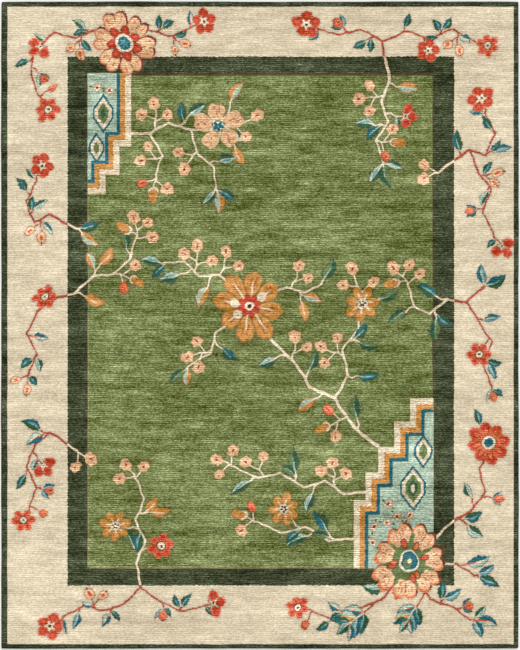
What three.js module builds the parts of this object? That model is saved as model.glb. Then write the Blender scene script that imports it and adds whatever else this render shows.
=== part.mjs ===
import * as THREE from "three";

// A hand-tufted rug lying flat: one mat of cut pile with its edge turned under, in millimetres.
// +Z is up, +Y runs along the rug's length and +X across its width.
// The origin is on the floor, under the middle of the rug.

// The rug's size, with pile and backing taken together.
const WIDTH = 2438;
const LENGTH = 3048;
const THICKNESS = 12;

// Seen from above, a corner is a small arc, and a side is a row of short steps.
const CORNER_RADIUS = 9;
const CORNER_STEPS = 5;
const SIDE_STEP = 50;

// The edge in section, from the underside up to the top of the pile.
// inset is how far inside the outline a ring lies, and height is how far above the floor.
const EDGE_RINGS = [
  { at: "edge of the underside", inset: 3.0, height: 0 },
  { at: "fold of the turned edge", inset: 1.0, height: 1.8 },
  { at: "widest pile", inset: 0.0, height: 5.0 },
  { at: "upper pile", inset: 0.8, height: 8.6 },
  { at: "shoulder", inset: 2.6, height: 11.0 },
  { at: "rim of the flat top", inset: 5.5, height: THICKNESS },
];

// Each side wanders inwards a little, as a hand-finished edge does.
// depth is the most that a wave takes off, and pitch is its length along the side.
const EDGE_WAVES = [
  { depth: 1.6, pitch: 1330, start: 210 },
  { depth: 0.9, pitch: 418, start: 60 },
  { depth: 0.5, pitch: 187, start: 25 },
];

// Wool in the field's green, which covers the largest part of the rug.
const PILE = { color: 0x6d7747, roughness: 0.95, metalness: 0 };

// How far the edge lies inside the straight side, at a distance measured around the rug.
function wander(distance) {
  return EDGE_WAVES.reduce((sum, wave) => {
    const turn = (2 * Math.PI * (distance + wave.start)) / wave.pitch;
    return sum + (wave.depth * (1 + Math.sin(turn))) / 2;
  }, 0);
}

// The outline from above, anticlockwise, as points with the direction that faces out of the rug.
function outline() {
  const inX = WIDTH / 2 - CORNER_RADIUS;
  const inY = LENGTH / 2 - CORNER_RADIUS;
  const corners = [
    new THREE.Vector2(inX, -inY),
    new THREE.Vector2(inX, inY),
    new THREE.Vector2(-inX, inY),
    new THREE.Vector2(-inX, -inY),
  ];
  const points = [];
  let distance = 0;
  corners.forEach((centre, side) => {
    const facing = (side - 1) * (Math.PI / 2);
    for (let step = 0; step <= CORNER_STEPS; step += 1) {
      const angle = facing + (step / CORNER_STEPS) * (Math.PI / 2);
      points.push(outlinePoint(centre, angle, distance));
    }
    const next = corners[(side + 1) % corners.length];
    const steps = Math.round(centre.distanceTo(next) / SIDE_STEP);
    for (let step = 1; step < steps; step += 1) {
      const along = centre.distanceTo(next) * (step / steps);
      const foot = centre.clone().lerp(next, step / steps);
      points.push(outlinePoint(foot, facing + Math.PI / 2, distance + along));
    }
    distance += centre.distanceTo(next);
  });
  return points;
}

// A point of the outline: out from its foot by the corner's radius, less the edge's wander there.
function outlinePoint(foot, angle, distance) {
  const out = new THREE.Vector2(Math.cos(angle), Math.sin(angle));
  const reach = CORNER_RADIUS - wander(distance);
  return { at: foot.clone().addScaledVector(out, reach), out };
}

// The whole mat as one closed body: rings up the edge, with a flat underside and a flat top.
function matGeometry() {
  const points = outline();
  const count = points.length;
  const positions = EDGE_RINGS.flatMap(({ inset, height }) =>
    points.flatMap(({ at, out }) => [at.x - out.x * inset, at.y - out.y * inset, height]),
  );

  const faces = [];
  for (let ring = 0; ring + 1 < EDGE_RINGS.length; ring += 1) {
    for (let i = 0; i < count; i += 1) {
      const next = (i + 1) % count;
      const [low, lowNext] = [ring * count + i, ring * count + next];
      const [high, highNext] = [low + count, lowNext + count];
      faces.push(low, lowNext, highNext, low, highNext, high);
    }
  }

  const topRing = (EDGE_RINGS.length - 1) * count;
  const flat = THREE.ShapeUtils.triangulateShape(points.map(({ at }) => at), []);
  for (const [a, b, c] of flat) {
    faces.push(topRing + a, topRing + b, topRing + c);
    faces.push(c, b, a);
  }

  const geometry = new THREE.BufferGeometry();
  geometry.setAttribute("position", new THREE.Float32BufferAttribute(positions, 3));
  geometry.setIndex(faces);
  centreOnFloor(geometry);
  geometry.computeVertexNormals();
  return geometry;
}

// Puts the middle of the mat's bounding box over the origin.
function centreOnFloor(geometry) {
  geometry.computeBoundingBox();
  const middle = geometry.boundingBox.getCenter(new THREE.Vector3());
  geometry.translate(-middle.x, -middle.y, 0);
}

const rug = new THREE.Group();
const mat = new THREE.Mesh(matGeometry(), new THREE.MeshStandardMaterial(PILE));
mat.name = "tufted_mat";
rug.add(mat);

export default rug;
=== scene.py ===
"""A hand-tufted wool rug, lying flat and seen from straight above.

The mat is one cloth body under a skin of cut pile. The pile's pattern is drawn in millimetres, from the
middle of the rug, with +x to the right and +y up the rug. It is kept on the pile's own points in layers:
each layer has a yarn colour, and a reach, which is how far the nearest motif is, less than zero inside it.
The pile's material lays the layers over the ground one by one, with an edge that is ragged row by row.
"""

from collections import namedtuple
from itertools import starmap

import bpy
import numpy as np
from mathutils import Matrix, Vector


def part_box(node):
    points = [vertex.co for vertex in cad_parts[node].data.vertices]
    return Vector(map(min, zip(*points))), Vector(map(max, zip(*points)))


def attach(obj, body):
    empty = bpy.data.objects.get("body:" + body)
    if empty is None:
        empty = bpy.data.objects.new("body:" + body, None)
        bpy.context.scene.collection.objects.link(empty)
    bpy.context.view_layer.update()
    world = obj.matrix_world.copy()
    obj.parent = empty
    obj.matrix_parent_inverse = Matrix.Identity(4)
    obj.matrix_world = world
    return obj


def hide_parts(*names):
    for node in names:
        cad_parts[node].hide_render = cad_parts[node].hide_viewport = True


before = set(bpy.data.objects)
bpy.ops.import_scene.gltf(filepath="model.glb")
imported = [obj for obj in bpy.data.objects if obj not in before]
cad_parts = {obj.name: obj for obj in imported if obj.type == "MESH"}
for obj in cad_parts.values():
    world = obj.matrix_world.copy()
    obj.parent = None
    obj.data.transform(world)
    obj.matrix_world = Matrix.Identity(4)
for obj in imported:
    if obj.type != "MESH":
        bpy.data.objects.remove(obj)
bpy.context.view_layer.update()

MM = 0.001
DEGREE = np.pi / 180

# The mat, in millimetres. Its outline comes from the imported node.
MAT = "tufted_mat"
LOW, HIGH = (np.array(corner, float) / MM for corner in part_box(MAT))
HALF_WIDTH, HALF_LENGTH = (HIGH - LOW)[:2] / 2
CORNER_RADIUS = 9.0

# The edge in section, from the rim of the flat top down to the underside.
# reach is how far a ring lies out from the corner's centre, and height is how far above the floor.
Ring = namedtuple("Ring", "reach height")
EDGE = [
    Ring(reach=0.0, height=12.0),
    Ring(reach=3.5, height=12.0),
    Ring(reach=6.4, height=11.0),
    Ring(reach=8.2, height=8.6),
    Ring(reach=9.0, height=5.0),
    Ring(reach=8.0, height=1.8),
    Ring(reach=6.0, height=0.0),
]
RING_REACH = np.array([ring.reach for ring in EDGE])
RING_HEIGHT = np.array([ring.height for ring in EDGE])
PILE_RINGS = 5
BODY_RINGS = 6
RING_GAP = 0.05

# Each side wanders inwards a little. depth is the most that a wave takes off.
Wave = namedtuple("Wave", "depth pitch start")
EDGE_WAVES = [
    Wave(depth=1.6, pitch=1330, start=210),
    Wave(depth=0.9, pitch=418, start=60),
    Wave(depth=0.5, pitch=187, start=25),
]

# The slow lumps of a mat that has been rolled and walked on: waves that cross, with a pitch each way, a
# start, and a bend that a slower wave up the rug gives them.
Lump = namedtuple("Lump", "across along start bend")
LUMPS = [
    Lump(across=61, along=np.inf, start=0.0, bend=0.4),
    Lump(across=210, along=83, start=1.0, bend=0.0),
    Lump(across=127, along=127, start=2.1, bend=0.0),
    Lump(across=310, along=-310 / 1.7, start=0.0, bend=0.0),
]
BEND_PITCH = 140

# The pile: its rows across the rug, its tufts along a row, the grid that its surface is made on, and how
# far apart the rings of the edge lie in the pattern.
ROW = 4.703
TUFT = 5.2
GRID = 4.25
EDGE_GRID = 3.0
BANDS = 5
TUFT_LIFT = 0.16
SWELL_LIFT = 0.35
SKIN = 1.6
BODY_GRID = 90.0
SEED = 11

# Yarns, as they show in daylight, in sRGB from 0 to 255.
YARNS = {
    "cream": (223, 207, 178),
    # Painted shade: the rim yarn darkens the pile down the turned edge.
    "rim": (48, 54, 38),
    "edge": (58, 64, 43),
    "ink": (61, 68, 43),
    "field": (114, 124, 72),
    "brown line": (84, 66, 40),
    "olive line": (140, 136, 92),
    "pale twig": (227, 210, 180),
    "rust": (174, 80, 60),
    "wine": (120, 58, 44),
    "coral": (210, 96, 66),
    "scarlet": (186, 66, 42),
    "brick": (160, 64, 44),
    "flame": (222, 128, 84),
    "peach": (226, 184, 142),
    "blush": (214, 130, 94),
    "clay": (176, 116, 80),
    "gold": (200, 142, 74),
    "amber": (176, 112, 58),
    "bark": (104, 66, 44),
    "teal": (36, 101, 112),
    "navy": (32, 72, 82),
    "sky": (104, 158, 164),
    "sage": (172, 191, 169),
    "forest": (50, 88, 62),
    "moss": (104, 122, 74),
    "charcoal": (48, 46, 44),
    "canvas": (206, 194, 164),
    "canvas shade": (150, 136, 108),
}

# The grounds, each a rectangle laid over the one before. vary is how unevenly its wool took the dye.
Ground = namedtuple("Ground", "yarn left right bottom top vary")
GROUNDS = [
    # The rim ground is painted shade: it darkens the pile down the turned edge, outside the edge's rectangle.
    Ground("rim", -1300, 1300, -1600, 1600, vary=1.7),
    Ground("edge", -1211, 1213, -1515, 1517, vary=2.0),
    Ground("cream", -1188, 1193, -1501, 1497, vary=0.45),
    Ground("ink", -905, 913, -1225, 1263, vary=1.8),
    Ground("brown line", -811, 816, -1144, 1185, vary=1.0),
    Ground("olive line", -811, 811, -1144, 1173, vary=1.0),
    Ground("field", -805, 811, -1135, 1173, vary=1.3),
]
BAND = GROUNDS[3]
MOTIF_VARY = 0.85

# Lighter wool is also paler: this share of its own grey goes up and down with the lightness.
PALER = 0.5

# A layer's reach beyond this counts as far away.
FAR = 40.0
LAYERS = 6

# The wool's lighter and darker parts. Dashes and streaks go row by row, so along is their step from one row
# to the next. The others have a pitch in mm each way. plane sets each noise apart from the others.
Noise = namedtuple("Noise", "across along plane amount detail", defaults=(0.0,))
DASH = Noise(14, 5.37, 1.0, 1.1)
STREAK = Noise(80, 7.91, 2.0, 1.0)
CLOUD = Noise(130, 44, 7.0, 1.4, detail=2.0)
DYE_BAND = Noise(900, 60, 3.0, 0.7, detail=1.0)
WIDE_BLOOM = Noise(420, 260, 4.0, 0.6)
COMB = Noise(60, 40, 8.0, 0.8)
COMB_MEAN = 0.19
SPECK_LIGHT = 0.65

# A yarn's edge is moved, in mm, by tufts and dashes, of which each kind of edge takes its share. A ground's
# edge also has slow waves. The edge fades over SOFT.
SPECK_RAGGED = 2.2
DASH_RAGGED = 9.0
SLOW = Noise(150, 150, 5.0, 4.0)
SOFT = 1.6
GROUND_RAGGED = 0.6
STEM_RAGGED = 0.5
MOTIF_RAGGED = 0.85

# A painted shadow: the wool beside a stem or motif is a little darker, out to this reach.
SHADOW_REACH = 9.0
SHADOW_SHARE = 0.3

# The pile's relief: rows, single tufts and fibres.
NAP_RELIEF = 0.5
SPECK_RELIEF = 0.4
FIBRE = Noise(1.3, 1.9, 6.0, 0.8, detail=2.0)

# The canvas: its threads' pitch in mm, and how unevenly they are spun, each way.
THREAD = 1.8
SLUBS = [Noise(30, 3, 1.0, 1.0), Noise(3, 40, 2.0, 1.0)]


def linear(srgb):
    """sRGB from 0 to 255 as linear light from 0 to 1."""
    share = np.asarray(srgb, float) / 255
    return np.where(share <= 0.04045, share / 12.92, ((share + 0.055) / 1.055) ** 2.4)


YARN = {name: linear(srgb) for name, srgb in YARNS.items()}


# The mat's surface

Axis = namedtuple("Axis", "foot ring")


def axis(half, pitch, rings):
    """Stations along one axis: even steps over the flat top, then one for each ring down both edges.
    foot is where a station leaves the flat top, and ring is its ring's number, negative on the low side."""
    inner = half - CORNER_RADIUS
    feet = np.linspace(-inner, inner, round(2 * inner / pitch) + 1)
    numbers = np.arange(1, rings + 1)
    foot = np.concatenate([np.full(rings, -inner), feet, np.full(rings, inner)])
    ring = np.concatenate([-numbers[::-1], np.zeros(feet.size, int), numbers])
    return Axis(foot, ring)


def wander(x, y, ring_x, ring_y):
    """How far the edge lies inside the straight side: a sum of waves of the distance round the rug,
    counted anticlockwise from its low right corner."""
    side_x, side_y = HALF_WIDTH - CORNER_RADIUS, HALF_LENGTH - CORNER_RADIUS
    distance = np.select(
        [ring_x > 0, ring_y > 0, ring_x < 0, ring_y < 0],
        [
            y + side_y,
            2 * side_y + side_x - x,
            3 * side_y + 2 * side_x - y,
            4 * side_y + 3 * side_x + x,
        ],
    )
    turns = [2 * np.pi * (distance + wave.start) / wave.pitch for wave in EDGE_WAVES]
    return sum(wave.depth * (1 + np.sin(turn)) / 2 for wave, turn in zip(EDGE_WAVES, turns))


def mat_surface(across, along, sink=0.0):
    """Points of the mat's upper side over a grid of two axes. On the flat top a point lies at its feet.
    On the edge it goes out from them by its ring's reach, in the direction of its two ring numbers, less
    the edge's wander, and down to its ring's height. sink draws the whole surface in."""
    foot_x, foot_y = np.meshgrid(across.foot, along.foot)
    ring_x, ring_y = np.meshgrid(across.ring, along.ring)
    ring = np.maximum(np.abs(ring_x), np.abs(ring_y))
    size = np.maximum(np.hypot(ring_x, ring_y), 1)
    out = RING_REACH[ring] - wander(foot_x, foot_y, ring_x, ring_y) - sink
    out = np.maximum(out, RING_GAP * ring) * (ring > 0)
    height = np.maximum(RING_HEIGHT[ring] - sink, 0)
    return np.stack([foot_x + out * ring_x / size, foot_y + out * ring_y / size, height], -1)


def swell(x, y):
    """The mean of the lumps. Each is a sine of x and y over its pitches, bent by a sine of y."""
    bend = np.sin(y / BEND_PITCH)
    turns = [x / lump.across + y / lump.along + lump.start + lump.bend * bend for lump in LUMPS]
    return sum(np.sin(turn) for turn in turns) / len(LUMPS)


def grid_faces(rows, columns, order=None):
    """Four-sided faces over a grid of points, facing up. order gives each grid point's own number."""
    order = np.arange(rows * columns).reshape(rows, columns) if order is None else order
    corners = [order[:-1, :-1], order[:-1, 1:], order[1:, 1:], order[1:, :-1]]
    return np.stack(corners, -1).reshape(-1, 4)


def add_object(name, data):
    """A new object in the scene, which shows a mesh, a light or a camera."""
    made = bpy.data.objects.new(name, data)
    bpy.context.scene.collection.objects.link(made)
    return made


def make_piece(name, points, quads, finish, stored=None):
    """A mesh object of points in millimetres and four-sided faces, with values stored on its points."""
    mesh = bpy.data.meshes.new(name)
    mesh.vertices.add(len(points))
    mesh.vertices.foreach_set("co", (points * MM).astype(np.float32).ravel())
    mesh.loops.add(quads.size)
    mesh.loops.foreach_set("vertex_index", quads.astype(np.int32).ravel())
    mesh.polygons.add(len(quads))
    mesh.polygons.foreach_set("loop_start", np.arange(0, quads.size, 4, dtype=np.int32))
    mesh.polygons.foreach_set("use_smooth", np.ones(len(quads), bool))
    for label, values in (stored or {}).items():
        vector = values.ndim > 1
        made = mesh.attributes.new(label, "FLOAT_VECTOR" if vector else "FLOAT", "POINT")
        made.data.foreach_set("vector" if vector else "value", values.astype(np.float32).ravel())
    mesh.update(calc_edges=True)
    mesh.materials.append(finish)
    piece = add_object(name, mesh)
    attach(piece, "root")
    return piece


# The pattern's shapes: each gives the distance in mm from a shape's outline, less than zero inside it

# A blade is widest before its middle, since its sine goes by the share of its length to this power. A
# tooth takes off this share of its width, and a diamond's side corners are cut off at this share of it.
BLADE_POWER = 0.8
TOOTH = 0.2
DIAMOND_CUT = 0.72


def petals(x, y, count, start, end, wide, turn, split):
    """count ellipses round the origin, from start to end along their length. All are folded into one
    sector by angle, then into its half, where the ellipse lies split off the petal's middle line. The
    distance is the ellipse's own measure times its smaller half."""
    sector = 2 * np.pi / count
    angle = np.arctan2(y, x) - turn
    folded = np.abs((angle + sector / 2) % sector - sector / 2) - split
    size = np.hypot(x, y)
    half_long, half_wide = (end - start) / 2, wide / 2
    along = (size * np.cos(folded) - (start + end) / 2) / half_long
    across = size * np.sin(folded) / half_wide
    return (np.hypot(along, across) - 1) * min(half_long, half_wide)


def disc(x, y, radius):
    """A round spot about the origin."""
    return np.hypot(x, y) - radius


def blade(x, y, long, wide, teeth):
    """A leaf's outline from the origin to (long, 0). Its half width follows a sine that peaks before the
    middle, and falls back a little at each of its teeth."""
    share = np.clip(x / long, 0, 1)
    half_wide = wide / 2 * np.sin(np.pi * share**BLADE_POWER) * (1 - TOOTH * (share * teeth % 1))
    return np.hypot(x - share * long, y) - half_wide


def bar(x, y, long, start_wide, end_wide):
    """A straight bar with round ends from the origin to (long, 0), with a width that changes evenly."""
    share = np.clip(x / long, 0, 1)
    half_wide = (start_wide + (end_wide - start_wide) * share) / 2
    return np.hypot(x - share * long, y) - half_wide


def past_sides(x, y, left, right, bottom, top):
    """How far places lie past a rectangle's upright sides, and past its level ones."""
    across = abs(x - (left + right) / 2) - (right - left) / 2
    along = abs(y - (bottom + top) / 2) - (top - bottom) / 2
    return across, along


def block(x, y, *sides):
    """A rectangle with square corners, also in its outer distances, so that its insets stay square."""
    return np.maximum(*past_sides(x, y, *sides))


def lozenge(x, y, half_wide, half_long):
    """A diamond about the origin, with its two side corners cut off upright."""
    slant = np.abs(x) / half_wide + np.abs(y) / half_long - 1
    slant = slant * half_wide * half_long / np.hypot(half_wide, half_long)
    return np.maximum(slant, np.abs(x) - DIAMOND_CUT * half_wide)


# The pattern's layers

# A line wavers as if drawn by hand: by a slow wave of one distance that the other skews, and by a quick
# one. Pitches are in mm, and HAND is how far both waves move a line.
Waver = namedtuple("Waver", "slow skew quick")
WAVER_X = Waver(slow=23, skew=71, quick=9.1)
WAVER_Y = Waver(slow=27, skew=-64, quick=8.3)
QUICK_SHARE = 0.6
HAND = 2.2
STEADY_HAND = 0.4


def waver(place, other, pitches):
    """How far a line strays at a place: the slow sine and a share of the quick one."""
    slow = np.sin(place / pitches.slow + other / pitches.skew)
    return slow + QUICK_SHARE * np.sin(place / pitches.quick)


class Pattern:
    """The layers of motifs over the pile's grid of places, x across and y along the rug."""

    def __init__(self, x, y):
        self.x, self.y = x, y
        self.yarn = np.zeros((LAYERS, y.size, x.size, 3))
        self.reach = np.full((LAYERS, y.size, x.size), FAR)

    def near(self, at, radius, turn=0.0, hand=HAND):
        """The part of the grid round a place, and its points as seen from there, turned by turn. Each
        point is moved as a line drawn by hand wavers."""
        radius = radius + FAR / 2
        columns = slice(*np.searchsorted(self.x, (at[0] - radius, at[0] + radius)))
        rows = slice(*np.searchsorted(self.y, (at[1] - radius, at[1] + radius)))
        place_x, place_y = np.meshgrid(self.x[columns], self.y[rows])
        x = place_x - at[0] + hand * waver(place_y, place_x, WAVER_X)
        y = place_y - at[1] + hand * waver(place_x, place_y, WAVER_Y)
        cosine, sine = np.cos(turn), np.sin(turn)
        return (rows, columns), cosine * x + sine * y, cosine * y - sine * x

    def tuft(self, part, layer, shape, yarn):
        """Tufts a shape into a layer, and clears the layers above it there."""
        reach = self.reach[(layer, *part)]
        nearer = shape < np.maximum(reach, 0)
        self.yarn[(layer, *part)][nearer] = np.broadcast_to(yarn, (*shape.shape, 3))[nearer]
        np.minimum(reach, shape, out=reach)
        for upper in range(layer + 1, LAYERS):
            above = self.reach[(upper, *part)]
            np.maximum(above, -shape, out=above)

    def twig_yarn(self, part):
        """The yarn of a stem: pale over the band and the field, and rust over the cream border."""
        x, y = np.meshgrid(self.x[part[1]], self.y[part[0]])
        return np.where(over_band(x, y)[..., None], YARN["pale twig"], YARN["rust"])


def over_band(x, y):
    """Whether a place lies on the dark band or the field."""
    return (x > BAND.left) & (x < BAND.right) & (y > BAND.bottom) & (y < BAND.top)


# Flowers: rows of whorls, which are rings of petals or spots, from the outline inwards. Sizes are shares of
# the flower's radius. A whorl with no petals is a spot. turn is in shares of the angle between two petals,
# and so is split, for petals with two lobes. shade is how far the whorl is moved to the lower left, or to
# the upper right where it is less than zero. A darker or lighter ring moved so shows as a crescent on one
# side of the flower: painted shade and painted light. In a flower's heart it only sets a spot off the middle.
Whorl = namedtuple("Whorl", "layer count start end wide yarn turn split shade", defaults=(0.0, 0.0, 0.0))
LOW_LEFT = np.array([-0.7, -0.7])


def spot(layer, end, yarn, shade=0.0):
    return Whorl(layer, 0, 0, end, 0, yarn, shade=shade)


# A blossom seen from the side has three petals, at these shares of a whole turn from its middle.
SIDE_PETALS = (-0.23, 0.0, 0.23)

FLOWERS = {
    "coral": [
        (1, 5, 0.16, 1.00, 0.80, "coral"), (2, 5, 0.34, 0.92, 0.56, "scarlet", 0, 0, -0.03),
        (3, 5, 0.48, 0.84, 0.10, "coral", 0, 0.08), (4, 5, 0.30, 0.62, 0.05, "wine", 0.5),
        spot(3, 0.34, "wine"), (4, 5, 0.00, 0.42, 0.20, "pale twig", 0.5),
        spot(4, 0.25, "pale twig"), spot(5, 0.11, "bark"),
    ],
    "coral six": [
        (1, 6, 0.20, 1.00, 0.66, "flame", 0, 0, 0.03), (2, 6, 0.24, 0.97, 0.60, "coral"),
        (3, 6, 0.42, 0.82, 0.26, "scarlet"), (4, 6, 0.30, 0.60, 0.05, "brick", 0.5),
        spot(3, 0.37, "bark"), spot(4, 0.28, "pale twig"),
        spot(5, 0.11, "bark"),
    ],
    "coral side": [
        *[(1, 1, 0.02, 1.00, 0.82, "coral", turn) for turn in SIDE_PETALS],
        *[(2, 1, 0.26, 0.90, 0.50, "scarlet", turn) for turn in SIDE_PETALS],
        (3, 4, 0.00, 0.54, 0.20, "wine", 0.5), (4, 4, 0.00, 0.46, 0.13, "pale twig", 0.5),
        spot(4, 0.18, "pale twig"), spot(5, 0.09, "bark"),
    ],
    "coral double": [
        (1, 8, 0.20, 1.00, 0.60, "coral"), (2, 8, 0.42, 0.92, 0.34, "scarlet", 0, 0, -0.02),
        (3, 8, 0.32, 0.78, 0.16, "flame"), (4, 8, 0.40, 0.70, 0.05, "brick"),
        (4, 8, 0.34, 0.66, 0.05, "gold", 0.5), spot(3, 0.36, "brick"),
        spot(4, 0.32, "pale twig"), spot(5, 0.21, "teal"),
    ],
    "gold": [
        (1, 7, 0.28, 1.00, 0.52, "amber", 0, 0, 0.04), (2, 7, 0.30, 0.97, 0.47, "gold"),
        (3, 7, 0.30, 0.62, 0.10, "pale twig"), spot(3, 0.30, "pale twig"),
        (5, 5, 0.04, 0.24, 0.10, "charcoal"),
    ],
    "great gold": [
        (1, 8, 0.24, 1.00, 0.37, "amber", 0, 0, 0.02), (1, 8, 0.40, 0.92, 0.28, "amber", 0, 0.20, 0.02),
        (2, 8, 0.26, 0.99, 0.34, "gold"), (2, 8, 0.42, 0.91, 0.25, "gold", 0, 0.20),
        (3, 8, 0.46, 0.84, 0.05, "amber", 0, 0.12), (4, 8, 0.24, 0.72, 0.06, "pale twig"),
        (4, 2, 0.26, 0.58, 0.24, "pale twig", 0.25), (4, 1, 0.26, 0.54, 0.22, "pale twig", 0.5),
        (3, 8, 0.10, 0.34, 0.19, "brick", 0.5), (4, 8, 0.10, 0.31, 0.16, "scarlet", 0.5),
        spot(3, 0.13, "pale twig"), spot(5, 0.06, "charcoal"),
    ],
    "peach": [
        (1, 5, 0.28, 1.00, 0.68, "clay", 0, 0, -0.03), (2, 5, 0.28, 1.00, 0.48, "peach", 0, 0.13),
        (2, 5, 0.28, 0.96, 0.62, "peach"), (3, 5, 0.70, 0.96, 0.04, "clay", 0, 0.10),
        (3, 5, 0.46, 0.74, 0.07, "blush"), (3, 5, 0.12, 0.46, 0.13, "pale twig", 0.5),
        spot(3, 0.21, "pale twig"), (4, 5, 0.02, 0.26, 0.14, "teal", 0.5),
        spot(4, 0.13, "teal"), spot(5, 0.05, "sky"),
    ],
    "peony": [
        (1, 7, 0.46, 0.99, 0.38, "bark", 0, 0.21, -0.03), (2, 7, 0.46, 0.99, 0.36, "flame", 0, 0.21, 0.04),
        (3, 7, 0.46, 0.93, 0.33, "peach", 0, 0.20), (3, 7, 0.42, 0.86, 0.34, "peach"),
        (4, 7, 0.62, 0.84, 0.04, "blush", 0, 0.26), (4, 7, 0.70, 0.84, 0.04, "blush", 0, 0.13),
        (4, 7, 0.56, 0.82, 0.04, "clay"), (3, 7, 0.30, 0.74, 0.11, "moss", 0.5),
        spot(3, 0.48, "moss", 0.03), (3, 4, 0.32, 0.60, 0.17, "wine", 0.10),
        (4, 4, 0.35, 0.57, 0.12, "coral", 0.10), (3, 3, 0.30, 0.55, 0.14, "wine", 0.48),
        (4, 3, 0.33, 0.52, 0.10, "flame", 0.48), spot(4, 0.28, "pale twig"),
        spot(5, 0.23, "teal", -0.02), spot(5, 0.12, "moss", 0.07),
        spot(5, 0.06, "pale twig", -0.01),
    ],
    "coral peony": [
        (1, 6, 0.40, 0.99, 0.42, "wine", 0.5, 0.19, -0.03),
        (2, 6, 0.42, 0.98, 0.39, "blush", 0.5, 0.19, 0.03), (3, 6, 0.40, 0.94, 0.36, "peach", 0.5, 0.18),
        (4, 6, 0.70, 0.86, 0.06, "flame", 0.5, 0.24), (4, 6, 0.58, 0.90, 0.04, "clay", 0.5),
        (3, 7, 0.16, 0.57, 0.30, "wine", 0.2), (4, 7, 0.18, 0.55, 0.26, "scarlet", 0.2),
        (5, 7, 0.34, 0.50, 0.07, "coral", 0.2), spot(3, 0.29, "pale twig"),
        spot(4, 0.20, "teal"), (5, 6, 0.02, 0.18, 0.05, "sky"),
    ],
    "peach bud": [
        (1, 1, -0.98, 1.00, 1.68, "clay", 0, 0, -0.10), (2, 6, 0.30, 1.04, 0.56, "peach"),
        (2, 1, -0.92, 0.96, 1.62, "peach"), (3, 3, 0.50, 0.84, 0.10, "blush", 0.5),
        (4, 1, -0.36, 0.42, 0.36, "blush"), (5, 1, -0.24, 0.28, 0.20, "wine"),
    ],
    "coral bud": [
        (1, 1, -1.00, 1.00, 1.70, "wine", 0, 0, 0.12), (2, 1, -1.00, 1.00, 1.70, "coral"),
        (3, 1, -0.66, 0.76, 1.10, "flame", 0, 0, -0.14), (4, 1, -0.40, 0.50, 0.20, "brick"),
    ],
    "gold bud": [
        (1, 1, -1.36, 0.30, 1.56, "pale twig"), (2, 1, -1.00, 1.36, 1.42, "amber", 0, 0, 0.06),
        (3, 1, -0.92, 1.28, 1.26, "gold"), (4, 3, -0.30, 0.90, 0.12, "amber"),
    ],
    "long bud": [
        (1, 1, -1.10, 1.20, 1.64, "clay"), (2, 1, -0.96, 1.04, 1.36, "peach"),
        (3, 1, -0.50, 0.60, 0.60, "coral"), (4, 1, 0.70, 1.50, 0.22, "bark"),
    ],
    "dot flower": [
        (2, 2, 1.00, 1.70, 0.40, "forest", 0.3), (2, 5, 0.00, 1.00, 0.76, "clay"),
        (3, 5, 0.00, 0.86, 0.60, "pale twig"), spot(4, 0.34, "brick"),
    ],
}

# Leaves: the yarns of the rim, of one half, of the other half, of the midrib and of a stroke beside it.
Tone = namedtuple("Tone", "rim half other rib stroke")
TONES = {
    "teal": Tone("forest", "teal", "forest", "sage", "sky"),
    "sky": Tone("navy", "sky", "teal", "pale twig", "sage"),
    "deep": Tone("forest", "forest", "teal", "sage", "forest"),
    "pale": Tone("forest", "sage", "forest", "pale twig", "sky"),
    "shade": Tone("forest", "forest", "moss", "sage", "forest"),
    "gold": Tone("amber", "gold", "gold", "pale twig", "peach"),
    "warm": Tone("amber", "sage", "gold", "pale twig", "sage"),
    "rosy": Tone("teal", "sage", "teal", "coral", "pale twig"),
}
BORDER_TONES = ["teal", "sky", "deep", "rosy", "teal", "pale"]
FIELD_TONES = ["teal", "deep", "pale", "gold", "shade", "warm", "pale", "shade"]

# The room that is worked out round a flower, in shares of its radius, and how uneven a flower is.
FLOWER_ROOM = 1.6
UNEVEN_TWICE = 0.05
UNEVEN_THRICE = 0.04

# A leaf in shares of its length: the room round it, its width, its rim, its midrib, and the stroke, which
# starts below the midrib and rises from it.
LEAF_ROOM = 1.1
LEAF_WIDE = 0.54
LEAF_RIM = 0.03
LEAF_TEETH = 4
LEAF_BEND = 0.07
Rib = namedtuple("Rib", "long start_wide end_wide")
RIB = Rib(long=0.62, start_wide=0.07, end_wide=0.02)
Stroke = namedtuple("Stroke", "start low rise long wide teeth")
STROKE = Stroke(start=0.24, low=0.09, rise=0.1, long=0.55, wide=0.11, teeth=3)

# A plume's leaves: start and length in shares of the plume's, and side, which is 1 for the left.
PlumeLeaf = namedtuple("PlumeLeaf", "start long side tone")
PLUME = [
    PlumeLeaf(0.30, 0.52, 1, "teal"),
    PlumeLeaf(0.30, 0.52, -1, "rosy"),
    PlumeLeaf(0.50, 0.47, 1, "sky"),
    PlumeLeaf(0.50, 0.47, -1, "warm"),
    PlumeLeaf(0.68, 0.425, 1, "rosy"),
    PlumeLeaf(0.68, 0.425, -1, "deep"),
    PlumeLeaf(0.70, 0.42, 0, "pale"),
]
PLUME_SPREAD = 44 * DEGREE
PLUME_BEND = 0.05
PLUME_STALK = 0.5
PLUME_RIB_START = 0.3
PLUME_RIB_LONG = 0.55
PLUME_WIDE = 8

# Stems: thinner over the cream border, with a knot just past each bend, as shares of the stem there.
BORDER_STEM = 0.85
KNOT_PAST = 0.04
KNOT_RADIUS = 0.62


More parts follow.
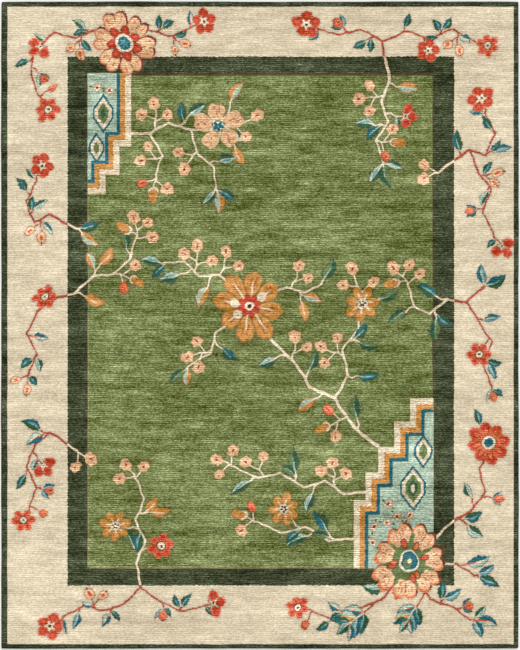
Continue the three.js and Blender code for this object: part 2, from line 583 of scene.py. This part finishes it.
def flower(pattern, kind, at, across, turn):
    """Tufts a flower, whorl by whorl. It is a little uneven: waves that go round it two and three times,
    with starts by its place, draw it in and out."""
    radius = across / 2
    for whorl in starmap(Whorl, FLOWERS[kind]):
        # A whorl's shade moves it to one side, for painted shade and painted light on the flower.
        part, x, y = pattern.near(at + whorl.shade * radius * LOW_LEFT, FLOWER_ROOM * radius, turn)
        angle = np.arctan2(y, x)
        uneven = 1 + UNEVEN_TWICE * np.sin(2 * angle + at[0]) + UNEVEN_THRICE * np.sin(3 * angle + at[1])
        x, y = x * uneven, y * uneven
        if whorl.count:
            sector = 2 * np.pi / whorl.count
            sizes = (radius * size for size in (whorl.start, whorl.end, whorl.wide))
            shape = petals(x, y, whorl.count, *sizes, whorl.turn * sector, whorl.split * sector)
        else:
            shape = disc(x, y, radius * whorl.end)
        pattern.tuft(part, whorl.layer, shape, YARN[whorl.yarn])


def leaf(pattern, tone, at, heading, long, bend):
    """Tufts a leaf that starts at a place: the whole, an inset in two halves, a midrib that fades out past
    the middle, and one stroke beside it. bend is how far its middle bows to the left."""
    tone = TONES[tone]
    part, x, y = pattern.near(at, LEAF_ROOM * long, heading)
    share = np.clip(x / long, 0, 1)
    y = y - 4 * bend * share * (1 - share)
    whole = blade(x, y, long, LEAF_WIDE * long, LEAF_TEETH)
    inner = whole + LEAF_RIM * long
    pattern.tuft(part, 1, whole, YARN[tone.rim])
    pattern.tuft(part, 2, inner, YARN[tone.half])
    pattern.tuft(part, 3, np.maximum(inner, -y), YARN[tone.other])
    x_stroke, y_stroke = x - STROKE.start * long, y + STROKE.low * long - STROKE.rise * x
    stroke = blade(x_stroke, y_stroke, STROKE.long * long, STROKE.wide * long, STROKE.teeth)
    pattern.tuft(part, 4, stroke, YARN[tone.stroke])
    pattern.tuft(part, 5, bar(x, y, *(long * size for size in RIB)), YARN[tone.rib])


def plume(pattern, at, heading, long):
    """Tufts a large cut leaf: its stalk, side leaves in pairs and one at the end, and a pale midrib."""
    part, x, y = pattern.near(at, long, heading)
    pattern.tuft(part, 0, bar(x, y, PLUME_STALK * long, PLUME_WIDE, PLUME_WIDE), pattern.twig_yarn(part))
    for row in PLUME:
        root = at + row.start * long * direction(heading)
        size = row.long * long
        course = heading + row.side * PLUME_SPREAD
        leaf(pattern, row.tone, root, course, size, PLUME_BEND * size * row.side)
    rib = bar(x - PLUME_RIB_START * long, y, PLUME_RIB_LONG * long, PLUME_WIDE, PLUME_WIDE / 2)
    pattern.tuft(part, 5, rib, YARN["pale twig"])


def direction(heading):
    return np.array([np.cos(heading), np.sin(heading)])


def stem(pattern, route, start_wide, end_wide):
    """Tufts a stem along straight stretches, with a small knot at each bend. It is thinner over the
    cream border."""
    ends = np.array(route, float)
    lengths = np.hypot(*np.diff(ends, axis=0).T)
    widths = np.interp(np.concatenate([[0], lengths.cumsum()]), [0, lengths.sum()], [start_wide, end_wide])
    for i, long in enumerate(lengths):
        heading = np.arctan2(*(ends[i + 1] - ends[i])[::-1])
        part, x, y = pattern.near(ends[i], long, heading)
        yarn = pattern.twig_yarn(part)
        start_wide, end_wide = widths[i : i + 2] * (1.0 if over_band(*ends[i]) else BORDER_STEM)
        pattern.tuft(part, 0, bar(x, y, long, start_wide, end_wide), yarn)
        pattern.tuft(part, 0, disc(x - KNOT_PAST * long, y, KNOT_RADIUS * start_wide), yarn)


def station(route, share):
    """The place at a share of a route's length, and the heading of the route there."""
    ends = np.array(route, float)
    lengths = np.concatenate([[0], np.hypot(*np.diff(ends, axis=0).T).cumsum()])
    distance = share * lengths[-1]
    i = min(np.searchsorted(lengths, distance, side="right") - 1, len(route) - 2)
    step = ends[i + 1] - ends[i]
    at = ends[i] + step * (distance - lengths[i]) / (lengths[i + 1] - lengths[i])
    return at, np.arctan2(step[1], step[0])


# Sprigs: what a short twig carries, in rows of parts. Each stands on its own stalk, at a share of the twig's
# length and at an angle off it in degrees, anticlockwise. A leaf's size is its length, a flower's its width.
Part = namedtuple("Part", "kind share angle stalk size")
SPRIGS = {
    "leaf": [("leaf", 1.0, 0, 6, 104)],
    "leaf pair": [("leaf", 1.0, -8, 6, 100), ("leaf", 0.45, 52, 14, 88)],
    "leaf trio": [("leaf", 1.0, 4, 6, 106), ("leaf", 0.6, 54, 12, 88), ("leaf", 0.5, -52, 12, 90)],
    "small leaf": [("leaf", 1.0, 0, 4, 76)],
    "small pair": [("leaf", 1.0, -10, 4, 74), ("leaf", 0.4, 50, 8, 68)],
    "buds two": [("peach bud", 1.0, 10, 54, 60), ("peach bud", 0.6, -56, 68, 53)],
    "buds three": [
        ("peach bud", 1.0, 4, 56, 61), ("peach bud", 0.75, 68, 70, 56), ("peach bud", 0.5, -60, 70, 53),
    ],
    "buds four": [
        ("peach bud", 1.0, 20, 60, 62), ("peach bud", 1.0, -52, 62, 56), ("gold bud", 0.6, 74, 70, 54),
        ("peach bud", 0.3, -80, 74, 54),
    ],
    "warm buds": [
        ("gold bud", 1.0, 4, 54, 56), ("peach bud", 0.75, 66, 70, 57), ("coral bud", 0.5, -60, 68, 52),
    ],
    "blossom": [("coral", 1.0, 0, 40, 121), ("leaf", 0.1, 66, 10, 66)],
    "side blossom": [("coral side", 1.0, 0, 40, 116), ("leaf", 0.9, -70, 6, 58)],
    "blossom bare": [("coral six", 1.0, 0, 40, 113)],
    "blossom buds": [("coral six", 1.0, 0, 40, 116), ("coral bud", 0.1, 84, 72, 42)],
    "long buds": [("long bud", 1.0, 10, 48, 50), ("long bud", 0.5, -48, 62, 44), ("leaf", 0.3, 54, 8, 66)],
    "capped bud": [("coral bud", 1.0, 0, 34, 44), ("leaf", 1.0, 36, 2, 58), ("leaf", 1.0, -38, 2, 56)],
    "gold flower": [("gold", 1.0, 0, 60, 148), ("leaf", 0.0, 96, 14, 84)],
    "plume": [("plume", 1.0, 0, 4, 195)],
}

# The branches: widths at both ends, the route, and rows of sprigs. A sprig has its share of the way along,
# its angle off the branch in degrees, its twig's length and its kind.
Sprig = namedtuple("Sprig", "share angle long kind")
Branch = namedtuple("Branch", "wide route sprigs")
BRANCHES = [
    # The bough over the field, from the low right panel to the great gold flower
    Branch((15, 11), [(558, -572), (440, -482), (352, -345), (232, -290), (160, -170), (55, -75), (-50, 90)],
        [(0.14, -55, 50, "leaf"), (0.22, 80, 70, "warm buds"), (0.40, 55, 45, "leaf"),
         (0.52, -52, 45, "leaf"), (0.64, -58, 60, "buds two"), (0.68, 58, 50, "leaf")]),
    Branch((12, 8), [(352, -345), (415, -235), (385, -120), (462, -20), (480, 90)],
        [(0.25, -58, 45, "leaf"), (0.45, 55, 60, "buds three"), (0.62, -55, 45, "leaf pair"),
         (1.0, 24, 130, "buds three"), (1.0, -60, 92, "leaf")]),
    # Twigs round the great gold flower
    Branch((12, 8), [(-90, 130), (-190, 240), (-285, 225), (-350, 300), (-430, 290)],
        [(0.34, -60, 60, "buds two"), (0.44, 62, 50, "leaf"), (0.66, -50, 70, "buds three"),
         (0.70, 72, 60, "leaf"), (1.0, -6, 30, "leaf pair")]),
    Branch((11, 8), [(0, 130), (125, 180), (205, 150), (290, 195)],
        [(0.50, 84, 60, "buds two"), (0.62, -55, 45, "leaf pair"), (1.0, 36, 20, "leaf")]),
    Branch((11, 8), [(-80, 60), (-205, -35), (-235, -135), (-330, -190)],
        [(0.52, 58, 50, "leaf"), (0.66, -60, 60, "buds three"), (1.0, 12, 30, "leaf pair")]),
    # Low twigs to the left of the panel and the great flower at its foot
    Branch((12, 8), [(448, -1004), (325, -1015), (215, -950), (95, -978), (-10, -925)],
        [(0.20, -58, 50, "leaf pair"), (0.40, 52, 36, "leaf"), (0.56, -60, 60, "gold flower"),
         (1.0, 6, 40, "warm buds")]),
    Branch((12, 8), [(504, -786), (400, -795), (305, -735), (205, -762), (95, -695), (-10, -722),
                     (-115, -668)],
        [(0.24, -58, 60, "buds three"), (0.38, 55, 40, "leaf"), (0.54, -56, 45, "leaf pair"),
         (0.78, -60, 60, "buds two"), (0.84, 58, 30, "leaf"), (1.0, 0, 40, "buds three")]),
    # From the left border into the field
    Branch((13, 9), [(-1048, 60), (-960, 128), (-870, 150), (-780, 232), (-688, 240), (-612, 310),
                     (-590, 390)],
        [(0.34, -62, 44, "leaf"), (0.54, 55, 50, "leaf pair"), (0.70, -62, 60, "warm buds"),
         (0.86, 62, 50, "leaf"), (1.0, 6, 60, "buds four")]),
    # Round the top left corner
    Branch((11, 9), [(-640, 1330), (-530, 1390), (-430, 1358), (-330, 1395)],
        [(0.50, 50, 30, "small pair"), (0.72, -58, 30, "long buds"), (1.0, 4, 36, "blossom")]),
    Branch((11, 8), [(-640, 1330), (-760, 1392), (-865, 1350), (-968, 1375), (-1060, 1295), (-1080, 1180),
                     (-1040, 1080)],
        [(0.26, -55, 24, "small pair"), (0.32, 62, 40, "long buds"), (0.50, 58, 60, "side blossom"),
         (0.74, -55, 20, "small leaf"), (0.80, 55, 46, "capped bud"), (1.0, 14, 40, "blossom buds")]),
    # From the left panel into the field
    Branch((13, 9), [(-614, 905), (-520, 898), (-430, 952), (-325, 915), (-195, 935)],
        [(0.30, 60, 70, "buds three"), (0.56, 62, 60, "leaf pair"), (1.0, 55, 130, "leaf"),
         (1.0, 2, 140, "buds two"), (1.0, -60, 122, "leaf pair")]),
    Branch((11, 8), [(-520, 898), (-458, 800), (-490, 715)],
        [(0.60, -60, 50, "buds two"), (1.0, 10, 50, "warm buds")]),
    Branch((10, 7), [(-325, 915), (-290, 800), (-220, 742), (-205, 655)],
        [(0.34, -58, 50, "buds two"), (0.62, 55, 40, "leaf"), (1.0, -6, 24, "leaf trio")]),
    # The top right spray, along the border and down over the band
    Branch((11, 8), [(590, 1240), (575, 1335), (470, 1392), (370, 1362), (285, 1392)],
        [(0.34, 58, 36, "small pair"), (0.66, -58, 36, "capped bud"), (1.0, 4, 30, "blossom")]),
    Branch((11, 8), [(575, 1335), (690, 1382), (800, 1345), (905, 1392), (1000, 1340)],
        [(0.24, 55, 20, "small leaf"), (0.44, -52, 30, "blossom"), (0.64, 50, 20, "small pair"),
         (0.82, -60, 40, "long buds"), (1.0, 8, 36, "blossom bare")]),
    Branch((13, 8), [(590, 1240), (612, 1150), (570, 1055), (602, 960), (548, 870), (575, 775)],
        [(0.22, 96, 40, "leaf"), (0.34, -60, 60, "buds three"), (0.52, 60, 60, "side blossom"),
         (0.64, -55, 45, "leaf pair"), (0.80, 114, 50, "warm buds"), (1.0, -4, 26, "leaf trio")]),
    # Down the right border
    Branch((11, 8), [(850, 730), (985, 822), (1062, 800), (1105, 905), (1062, 990)],
        [(0.0, 172, 40, "buds two"), (0.24, 60, 24, "leaf"), (0.56, -58, 40, "small pair"),
         (0.78, 58, 20, "small leaf"), (1.0, -14, 40, "blossom")]),
    Branch((11, 8), [(985, 822), (1030, 715), (1088, 640), (1048, 530), (1098, 430)],
        [(0.30, 55, 30, "long buds"), (0.44, -58, 24, "small leaf"), (0.70, -60, 36, "capped bud"),
         (1.0, 6, 36, "side blossom")]),
    # From the right border into the field
    Branch((13, 9), [(1050, 175), (968, 108), (880, 120), (800, 52), (725, 90), (698, 175)],
        [(0.0, 176, 10, "leaf pair"), (0.42, -58, 50, "leaf"), (0.56, 55, 45, "leaf pair"),
         (0.80, 58, 50, "leaf"), (1.0, 8, 60, "buds four")]),
    Branch((10, 8), [(968, 108), (1035, 10), (1090, -80), (1050, -190), (1080, -270)],
        [(0.24, 58, 24, "small leaf"), (0.48, -66, 50, "blossom bare"), (0.74, 58, 24, "small pair"),
         (1.0, 0, 36, "capped bud")]),
    # Round the low right corner
    Branch((13, 9), [(720, -1080), (820, -1005), (905, -925), (990, -880), (1060, -780), (1030, -680),
                     (1080, -590)],
        [(0.40, -58, 50, "leaf pair"), (0.56, 58, 40, "small leaf"), (0.64, -62, 50, "capped bud"),
         (1.0, 48, 130, "small leaf")]),
    Branch((12, 8), [(660, -1180), (575, -1292), (460, -1332), (350, -1382), (250, -1350)],
        [(0.16, -66, 20, "leaf"), (0.34, 14, 20, "plume"), (0.66, -50, 30, "small pair"),
         (0.80, 56, 20, "small leaf"), (1.0, 0, 36, "blossom buds")]),
    Branch((12, 8), [(740, -1190), (800, -1290), (900, -1325), (985, -1385)],
        [(0.24, -64, 30, "plume"), (0.48, 46, 30, "leaf pair"), (0.74, 50, 36, "capped bud"),
         (1.0, 26, 30, "leaf trio")]),
    Branch((11, 8), [(830, -1130), (925, -1120), (1010, -1180)],
        [(0.6, 50, 24, "leaf"), (1.0, 20, 20, "leaf pair")]),
    # The low left spray, up over the band and along the border
    Branch((12, 8), [(-560, -1235), (-582, -1120), (-540, -1015), (-585, -920), (-545, -820), (-575, -735)],
        [(0.34, -58, 55, "blossom bare"), (0.30, 58, 45, "leaf"), (0.54, 60, 60, "gold flower"),
         (0.70, -58, 50, "leaf pair"), (1.0, 10, 40, "buds three")]),
    Branch((10, 8), [(-560, -1235), (-640, -1312), (-745, -1345), (-830, -1318), (-925, -1372)],
        [(0.40, 52, 24, "small pair"), (0.60, -58, 30, "long buds"), (0.80, 50, 20, "small leaf"),
         (1.0, 10, 40, "blossom")]),
    Branch((10, 8), [(-560, -1235), (-470, -1300), (-380, -1345), (-290, -1330)],
        [(0.40, -58, 30, "capped bud"), (0.70, 50, 24, "small pair"), (1.0, 8, 36, "side blossom")]),
    # Up and down the left border
    Branch((11, 8), [(-862, 452), (-985, 520), (-1060, 480), (-1100, 580), (-1050, 680)],
        [(0.0, 176, 20, "leaf pair"), (0.42, 55, 40, "long buds"), (0.62, -64, 24, "small pair"),
         (0.82, 58, 20, "small leaf"), (1.0, 12, 36, "blossom")]),
    Branch((10, 8), [(-1048, 60), (-1095, -40), (-1050, -140), (-1085, -220)],
        [(0.0, 178, 40, "blossom bare"), (0.40, 56, 24, "small leaf"), (0.70, -58, 24, "small pair"),
         (1.0, 8, 36, "long buds")]),
    Branch((11, 8), [(-862, -590), (-985, -505), (-1058, -560), (-1098, -665), (-1050, -770), (-1085, -850)],
        [(0.0, 170, 24, "buds two"), (0.28, -58, 40, "leaf pair"), (0.50, 60, 50, "side blossom"),
         (0.66, -55, 24, "small leaf"), (0.84, 55, 30, "capped bud"), (1.0, 6, 36, "blossom buds")]),
]

# The great flowers, with the place of the middle, the width and a turn in degrees.
Flower = namedtuple("Flower", "kind x y across turn")
BLOOMS = [
    Flower("great gold", -50, 90, 335, -10),
    Flower("gold", 480, 100, 165, 8),
    Flower("peach", -195, 935, 228, 24),
    Flower("peony", 700, -1112, 352, 6),
    Flower("coral peony", -640, 1325, 300, 20),
    Flower("coral double", 1075, -555, 200, 10),
]

# The stepped panels, in a corner of the field: blocks that overlap in a stair, bands that follow the
# stair's outline inwards, and cut diamonds in the middle. Places are from the corner.
Panel = namedtuple("Panel", "x y flip_x flip_y steps diamonds dots")
PANELS = [
    Panel(
        -811, 1185, 1, -1,
        steps=[(85, 570), (150, 480), (205, 345)],
        diamonds=[(42, 352, 30, 46), (74, 190, 46, 66)],
        dots=[(46, 70), (106, 82)],
    ),
    Panel(
        816, -1144, -1, 1,
        steps=[(110, 800), (185, 690), (260, 570), (320, 450), (375, 320)],
        diamonds=[(48, 550, 38, 54), (96, 376, 62, 82)],
        dots=[(284, 120), (280, 196), (222, 212), (168, 244), (110, 250), (212, 300)],
    ),
]
Inlay = namedtuple("Inlay", "layer inset yarn")
INLAYS = [
    Inlay(1, 0, "pale twig"),
    Inlay(2, 28, "gold"),
    Inlay(3, 52, "teal"),
    Inlay(4, 68, "sage"),
]
DIAMOND = [
    Inlay(5, -16, "teal"),
    Inlay(5, -6, "pale twig"),
    Inlay(5, 8, "moss"),
    Inlay(5, 24, "forest"),
    Inlay(5, 36, "pale twig"),
]

# The room that is worked out round a panel's corner, the place before the corner where its blocks start, so
# that no inset shows there, and the width of a dot flower.
PANEL_ROOM = 900
PANEL_START = -300
DOT_FLOWER = 46

# Twigs and stalks: their widths at both ends, how much a twig bows to one side or the other, and how much
# a part's angle, in degrees, and its size, as a share, stray by chance.
TWIG_WIDE = (9, 7)
STALK_WIDE = (7, 6)
TWIG_BOW = 14 * DEGREE
ANGLE_STRAY = 5
SIZE_STRAY = 0.06


def panel(pattern, place):
    """Tufts a stepped panel that grows out of a corner of the field."""
    part, x, y = pattern.near((place.x, place.y), PANEL_ROOM, hand=STEADY_HAND)
    x, y = x * place.flip_x, y * place.flip_y
    blocks = [block(x, y, PANEL_START, right, PANEL_START, top) for right, top in place.steps]
    stair = np.minimum.reduce(blocks)
    corner = np.maximum(-x, -y)
    for inlay in INLAYS:
        pattern.tuft(part, inlay.layer, np.maximum(stair + inlay.inset, corner), YARN[inlay.yarn])
    for left, low, half_wide, half_long in place.diamonds:
        cut = lozenge(x - left, y - low, half_wide, half_long)
        for inlay in DIAMOND:
            pattern.tuft(part, inlay.layer, np.maximum(cut + inlay.inset, corner), YARN[inlay.yarn])
    for left, low in place.dots:
        at = (place.x + place.flip_x * left, place.y + place.flip_y * low)
        flower(pattern, "dot flower", at, DOT_FLOWER, turn=left)


def grow(chance):
    """Works out the stems, the leaves and the flowers of all branches, with a little chance in each."""
    stems, leaves, flowers = [], [], []
    for branch in BRANCHES:
        stems.append((branch.route, *branch.wide))
        for sprig in starmap(Sprig, branch.sprigs):
            root, heading = station(branch.route, sprig.share)
            heading += sprig.angle * DEGREE
            bow = TWIG_BOW * chance.choice([-1, 1])
            knee = root + sprig.long / 2 * direction(heading + bow)
            twig = [root, knee, knee + sprig.long / 2 * direction(heading - bow)]
            stems.append((twig, *TWIG_WIDE))
            for part in starmap(Part, SPRIGS[sprig.kind]):
                foot, _ = station(twig, part.share)
                course = heading + (part.angle + chance.normal(0, ANGLE_STRAY)) * DEGREE
                tip = foot + part.stalk * direction(course)
                stems.append(([foot, tip], *STALK_WIDE))
                size = part.size * (1 + chance.normal(0, SIZE_STRAY))
                kept = leaves if part.kind in ("leaf", "plume") else flowers
                kept.append((part.kind, tip, course, size))
    return stems, leaves, flowers


def draw(pattern):
    """Draws the whole pattern, from what lies lowest to what lies on top."""
    chance = np.random.default_rng(SEED)
    for place in PANELS:
        panel(pattern, place)
    stems, leaves, flowers = grow(chance)
    for route, start_wide, end_wide in stems[::-1]:
        stem(pattern, route, start_wide, end_wide)
    for kind, at, heading, size in leaves:
        if kind == "plume":
            plume(pattern, at, heading, size)
        else:
            tone = chance.choice(FIELD_TONES if over_band(*at) else BORDER_TONES)
            leaf(pattern, tone, at, heading, size, LEAF_BEND * size * chance.choice([-1, 1]))
    for kind, at, heading, size in flowers:
        flower(pattern, kind, at, size, heading)
    for bloom in BLOOMS:
        flower(pattern, bloom.kind, (bloom.x, bloom.y), bloom.across, bloom.turn * DEGREE)


# Materials


def math_node(operation):
    """A method of a value that takes it, and the other number if there is one, through a math node."""

    def method(value, *others):
        values = dict(enumerate((value, *others)))
        return value.recipe.node("Math", "Value", {"operation": operation}, values)

    return method


class Value:
    """One output of a node, or a formula of several, which Python's operators carry on."""

    def __init__(self, recipe, socket):
        self.recipe, self.socket = recipe, socket

    __add__ = __radd__ = math_node("ADD")
    __mul__ = __rmul__ = math_node("MULTIPLY")
    __sub__ = math_node("SUBTRACT")
    __truediv__ = math_node("DIVIDE")
    __abs__ = math_node("ABSOLUTE")
    floor = math_node("FLOOR")
    sine = math_node("SINE")
    greater = math_node("MAXIMUM")
    lesser = math_node("MINIMUM")

    def __rsub__(self, other):
        return self * -1 + other

    def clipped(self):
        return self.greater(0).lesser(1)


class Recipe:
    """One material: its node tree, and one way to add any node."""

    def __init__(self, name):
        self.material = bpy.data.materials.new(name)
        self.material.use_nodes = True
        self.tree = self.material.node_tree
        self.tree.nodes.clear()

    def node(self, kind, output, settings=None, values=None):
        """Adds a node, with its settings made first, and fills its sockets with numbers or links."""
        made = self.tree.nodes.new("ShaderNode" + kind)
        for name, value in (settings or {}).items():
            setattr(made, name, value)
        for name, value in (values or {}).items():
            if isinstance(value, Value):
                self.tree.links.new(value.socket, made.inputs[name])
            else:
                made.inputs[name].default_value = value
        return Value(self, made.outputs[output]) if output is not None else made

    def places(self):
        """The point's x, y and z in millimetres, each a number."""
        place = self.node("TexCoord", "Object")
        place = self.node("VectorMath", "Vector", {"operation": "SCALE"}, {0: place, "Scale": 1 / MM})
        return [self.node("SeparateXYZ", name, None, {0: place}) for name in "XYZ"]

    def vector(self, x, y, z):
        return self.node("CombineXYZ", "Vector", None, {"X": x, "Y": y, "Z": z})

    def noise(self, x, y, z, detail=0.0):
        """Smooth noise about zero, from about -0.5 to 0.5, with lumps one unit wide."""
        values = {"Vector": self.vector(x, y, z), "Scale": 1.0, "Detail": detail}
        return self.node("TexNoise", "Fac", {"noise_dimensions": "3D"}, values) - 0.5

    def lumps(self, kind, x, y):
        """Noise of a kind over the rug, by its pitch each way, times its amount."""
        return self.noise(x / kind.across, y / kind.along, kind.plane, kind.detail) * kind.amount

    def chance(self, x, y):
        """A number from -0.5 to 0.5 for each whole x and y."""
        values = {"Vector": self.vector(x, y, 0)}
        return self.node("TexWhiteNoise", "Value", {"noise_dimensions": "2D"}, values) - 0.5

    def mix(self, share, first, second):
        """One colour, and by share the other."""
        settings = {"data_type": "RGBA"}
        return self.node("Mix", 2, settings, {0: share, 6: first, 7: second})

    def stored(self, name, output):
        return self.node("Attribute", output, {"attribute_name": name})

    def finish(self, shader):
        self.node("OutputMaterial", None, None, {"Surface": shader})
        return self.material


def opaque(colour):
    return (*(float(part) for part in colour), 1.0)


def pile_finish():
    """Cut wool pile. Every row is made of short dashes of lighter and darker wool, and every second row
    stands a little apart from its neighbours. Wide soft bands of dye run across the rug. The edge of every
    motif and ground is moved a little tuft by tuft."""
    wool = Recipe("cut wool pile")
    x, y, _ = wool.places()
    row = (y / ROW).floor()
    tuft = ((x + wool.chance(row, 3) * TUFT) / TUFT).floor()
    speck = wool.chance(tuft, row)
    dash, streak = (wool.noise(x / kind.across, row * kind.along, kind.plane) for kind in (DASH, STREAK))
    nap = (y * (np.pi / ROW)).sine()
    comb = nap * (COMB_MEAN + wool.lumps(COMB, x, y))

    ragged = speck * SPECK_RAGGED + dash * DASH_RAGGED
    slow = wool.lumps(SLOW, x, y)

    def cover(reach, share):
        """How far a yarn covers: from 0 to 1 over the soft width, where its ragged reach passes zero."""
        return (0.5 - (reach + ragged * share) / SOFT).clipped()

    colour, vary = opaque(YARN[GROUNDS[0].yarn]), GROUNDS[0].vary
    for ground in GROUNDS[1:]:
        across, along = past_sides(x, y, ground.left, ground.right, ground.bottom, ground.top)
        share = cover(across.greater(along) + slow, GROUND_RAGGED)
        colour = wool.mix(share, colour, opaque(YARN[ground.yarn]))
        vary = share * (ground.vary - vary) + vary

    # Painted shadow: the ground beside the stems and motifs is mixed a little towards bark yarn.
    nearest = wool.stored("reach_0", "Fac").lesser(wool.stored("reach_1", "Fac"))
    painted_shadow = (1.0 - nearest / SHADOW_REACH).clipped() * SHADOW_SHARE
    colour = wool.mix(painted_shadow, colour, opaque(YARN["bark"]))
    for layer in range(LAYERS):
        share = cover(wool.stored(f"reach_{layer}", "Fac"), MOTIF_RAGGED if layer else STEM_RAGGED)
        colour = wool.mix(share, colour, wool.stored(f"yarn_{layer}", "Vector"))
        vary = share * (MOTIF_VARY - vary) + vary

    tone = dash * DASH.amount + streak * STREAK.amount + speck * SPECK_LIGHT + comb
    for kind in (CLOUD, DYE_BAND, WIDE_BLOOM):
        tone += wool.lumps(kind, x, y)
    light = wool.node("Math", "Value", {"operation": "POWER"}, {0: 2.0, 1: tone * vary})
    grey = wool.node("RGBToBW", 0, None, {0: colour}) * (light - 1.0) * PALER
    colour = wool.node("VectorMath", "Vector", {"operation": "SCALE"}, {0: colour, "Scale": light})
    grey = wool.vector(grey, grey, grey)
    colour = wool.node("VectorMath", "Vector", {"operation": "ADD"}, {0: colour, 1: grey})

    height = abs(nap) * NAP_RELIEF + speck * SPECK_RELIEF + wool.lumps(FIBRE, x, y)
    bump = wool.node("Bump", "Normal", None, {"Strength": 0.55, "Distance": 1.1 * MM, "Height": height})
    values = {
        "Base Color": colour,
        "Roughness": 0.9 + dash * 0.15,
        "Normal": bump,
        "Specular IOR Level": 0.18,
        "Sheen Weight": 0.12,
        "Sheen Roughness": 0.5,
    }
    return wool.finish(wool.node("BsdfPrincipled", "BSDF", None, values))


def canvas_finish():
    """The plain cotton canvas of the underside and the turned edge: a plain weave, two threads over one."""
    canvas = Recipe("backing canvas")
    x, y, _ = canvas.places()
    warp, weft = ((place * (np.pi / THREAD)).sine() for place in (x, y))
    slub = canvas.lumps(SLUBS[0], x, y) + canvas.lumps(SLUBS[1], x, y)
    light = (0.5 + warp * weft * 0.3 + slub * 0.6).clipped()
    colour = canvas.mix(light, opaque(YARN["canvas shade"]), opaque(YARN["canvas"]))
    height = abs(warp) * 0.5 + abs(weft) * 0.5 + slub * 0.4
    bump = canvas.node("Bump", "Normal", None, {"Strength": 0.5, "Distance": 0.5 * MM, "Height": height})
    values = {"Base Color": colour, "Roughness": 0.85 + slub * 0.1, "Normal": bump, "Specular IOR Level": 0.2}
    return canvas.finish(canvas.node("BsdfPrincipled", "BSDF", None, values))


# The pieces


def make_pile(finish):
    """The pile's skin over the whole top and down the edge, as bands across the rug that meet in rows of
    shared points. Tufts stand a little uneven, by chance from a fixed seed, on slow swells."""
    across = axis(HALF_WIDTH, GRID, PILE_RINGS)
    along = axis(HALF_LENGTH, GRID, PILE_RINGS)
    points = mat_surface(across, along)
    flat = (across.ring == 0)[None, :] & (along.ring == 0)[:, None]
    uneven = np.random.default_rng(SEED).normal(0, TUFT_LIFT, flat.shape)
    lift = SWELL_LIFT * (swell(points[..., 0], points[..., 1]) - 1) + uneven
    points[..., 2] += np.where(flat, lift, 0)

    pattern = Pattern(*(line.foot + EDGE_GRID * line.ring for line in (across, along)))
    draw(pattern)

    rows, columns = flat.shape
    ends = np.linspace(0, rows - 1, BANDS + 1).astype(int)
    pieces = []
    for i, (first, last) in enumerate(zip(ends[:-1], ends[1:])):
        part = slice(first, last + 1)
        stored = {f"reach_{k}": pattern.reach[k, part].ravel() for k in range(LAYERS)}
        stored |= {f"yarn_{k}": pattern.yarn[k, part].reshape(-1, 3) for k in range(LAYERS)}
        quads = grid_faces(last - first + 1, columns)
        name = f"pile_band_{i + 1}"
        pieces.append(make_piece(name, points[part].reshape(-1, 3), quads, finish, stored))
    return pieces


def make_body(finish):
    """The mat's body: the same surface drawn in by the pile's skin and carried on to the floor, closed by
    a flat underside that shares its outermost points."""
    across = axis(HALF_WIDTH, BODY_GRID, BODY_RINGS)
    along = axis(HALF_LENGTH, BODY_GRID, BODY_RINGS)
    upper = mat_surface(across, along, sink=SKIN)
    rows, columns = upper.shape[:2]
    top = np.arange(rows * columns).reshape(rows, columns)
    under = top.copy()
    under[1:-1, 1:-1] = top.size + np.arange((rows - 2) * (columns - 2)).reshape(rows - 2, columns - 2)
    lower = upper[1:-1, 1:-1].copy()
    lower[..., 2] = 0
    points = np.concatenate([upper.reshape(-1, 3), lower.reshape(-1, 3)])
    quads = np.concatenate([grid_faces(rows, columns, top), grid_faces(rows, columns, under)[:, ::-1]])
    return make_piece("mat_body", points, quads, finish)


def build_rug():
    pile = make_pile(pile_finish())
    body = make_body(canvas_finish())
    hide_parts(MAT)


# The stage

FLOOR_HALF = 9.0
FLOOR_DROP = 0.4
FLOOR_TONE = (250, 252, 249)
FRAME_HEIGHT = 3057.0
LENS = 100.0
SENSOR = 36.0
SIGHT = 100.0
SUN_TILT = (-38, 24)
SUN_WIDE = 24
SUN_POWER = 1.75
SKY_TONE = (1.0, 1.0, 0.99, 1.0)
SKY_POWER = 0.62


def stage_floor():
    """A plain pale floor, just under the mat."""
    floor = Recipe("pale floor")
    values = {"Base Color": opaque(linear(FLOOR_TONE)), "Roughness": 0.9}
    finish = floor.finish(floor.node("BsdfPrincipled", "BSDF", None, values))
    mesh = bpy.data.meshes.new("floor")
    signs = ((-1, -1), (1, -1), (1, 1), (-1, 1))
    corners = [(x * FLOOR_HALF, y * FLOOR_HALF, -FLOOR_DROP * MM) for x, y in signs]
    mesh.from_pydata(corners, [], [(0, 1, 2, 3)])
    mesh.materials.append(finish)
    piece = add_object("floor", mesh)


def stage_light():
    """An even white sky and a wide soft sun from the upper right."""
    world = bpy.data.worlds.new("studio")
    world.use_nodes = True
    sky = world.node_tree.nodes["Background"].inputs
    sky["Color"].default_value = SKY_TONE
    sky["Strength"].default_value = SKY_POWER
    bpy.context.scene.world = world
    sun = bpy.data.lights.new("sun", "SUN")
    sun.energy = SUN_POWER
    sun.angle = SUN_WIDE * DEGREE
    lamp = add_object("sun", sun)
    lamp.rotation_euler = (SUN_TILT[0] * DEGREE, SUN_TILT[1] * DEGREE, 0)


def stage_camera():
    """A long lens straight above the mat, as far away as fits the frame's height over it."""
    view = bpy.data.cameras.new("camera")
    view.lens, view.sensor_width, view.clip_end = LENS, SENSOR, SIGHT
    camera = add_object("camera", view)
    distance = FRAME_HEIGHT * MM * LENS / SENSOR
    camera.location = (0, 0, HIGH[2] * MM + distance)
    bpy.context.scene.camera = camera


stage_floor()
stage_light()
stage_camera()
bpy.context.scene.view_settings.view_transform = "Standard"
build_rug()
